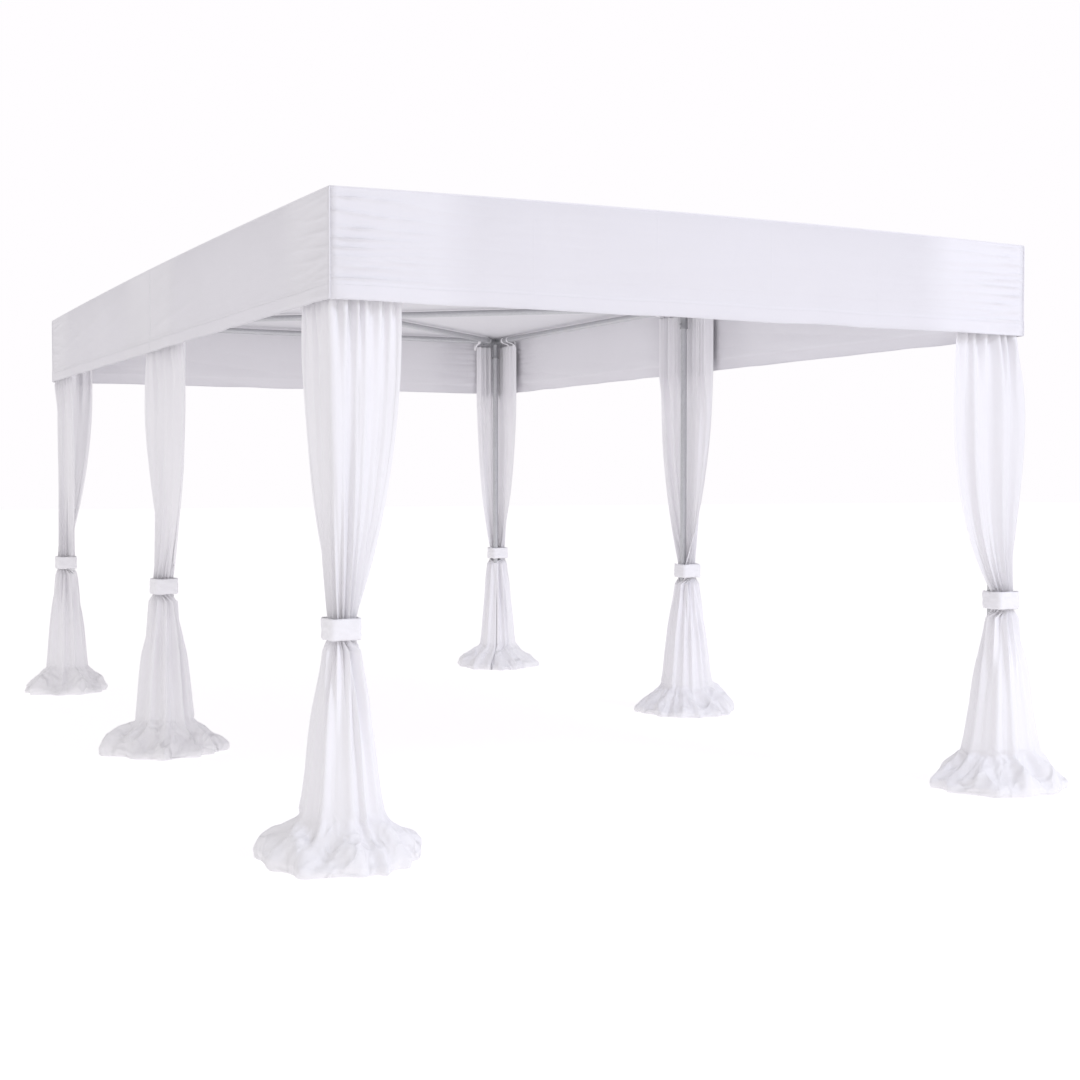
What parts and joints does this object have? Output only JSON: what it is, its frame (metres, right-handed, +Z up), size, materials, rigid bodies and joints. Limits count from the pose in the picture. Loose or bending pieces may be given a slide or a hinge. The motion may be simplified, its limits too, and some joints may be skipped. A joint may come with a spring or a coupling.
{
  "type": "cabana",
  "caption": "Flat-topped frame tent with a deep fabric fascia, slip-fitted tube frame, and a full-length curtain tied round each leg and pooling on the floor.",
  "frame": {"origin": "on the floor, at the middle of the plan", "axes": "+X to the right seen from the lit short side, +Y from the front short side to the back, +Z up"},
  "size_m": [4.187, 6.6148, 2.74],
  "materials": {
    "frame_tube": "galvanised round tube, dull satin",
    "frame_fitting": "cast slip-on fitting, dull grey",
    "cover_fabric": "coated white woven fabric with a soft sheen",
    "curtain_fabric": "soft white satin-like weave, gathered",
    "tie_fabric": "white folded fabric strap"
  },
  "bodies": {
    "root": {"leg_front_left": "frame_tube", "leg_front_right": "frame_tube", "leg_middle_left": "frame_tube", "leg_middle_right": "frame_tube", "leg_back_left": "frame_tube", "leg_back_right": "frame_tube", "fitting_front_left": "frame_fitting", "fitting_front_right": "frame_fitting", "fitting_middle_left": "frame_fitting", "fitting_middle_right": "frame_fitting", "fitting_back_left": "frame_fitting", "fitting_back_right": "frame_fitting", "fitting_front_roof_hub": "frame_fitting", "fitting_back_roof_hub": "frame_fitting", "rail_front": "frame_tube", "rail_back": "frame_tube", "cross_beam": "frame_tube", "rail_left_front_bay": "frame_tube", "rail_left_back_bay": "frame_tube", "rail_right_front_bay": "frame_tube", "rail_right_back_bay": "frame_tube", "rafter_front_bay_front_left": "frame_tube", "rafter_front_bay_front_right": "frame_tube", "rafter_front_bay_middle_left": "frame_tube", "rafter_front_bay_middle_right": "frame_tube", "rafter_back_bay_middle_left": "frame_tube", "rafter_back_bay_middle_right": "frame_tube", "rafter_back_bay_back_left": "frame_tube", "rafter_back_bay_back_right": "frame_tube", "roof_sheet": "cover_fabric", "fascia_front": "cover_fabric", "fascia_back": "cover_fabric", "fascia_left": "cover_fabric", "fascia_right": "cover_fabric", "curtain_front_left": "curtain_fabric", "curtain_front_right": "curtain_fabric", "curtain_middle_left": "curtain_fabric", "curtain_middle_right": "curtain_fabric", "curtain_back_left": "curtain_fabric", "curtain_back_right": "curtain_fabric", "tie_band_front_left": "tie_fabric", "tie_band_front_right": "tie_fabric", "tie_band_middle_left": "tie_fabric", "tie_band_middle_right": "tie_fabric", "tie_band_back_left": "tie_fabric", "tie_band_back_right": "tie_fabric"}
  },
  "joints": []
}
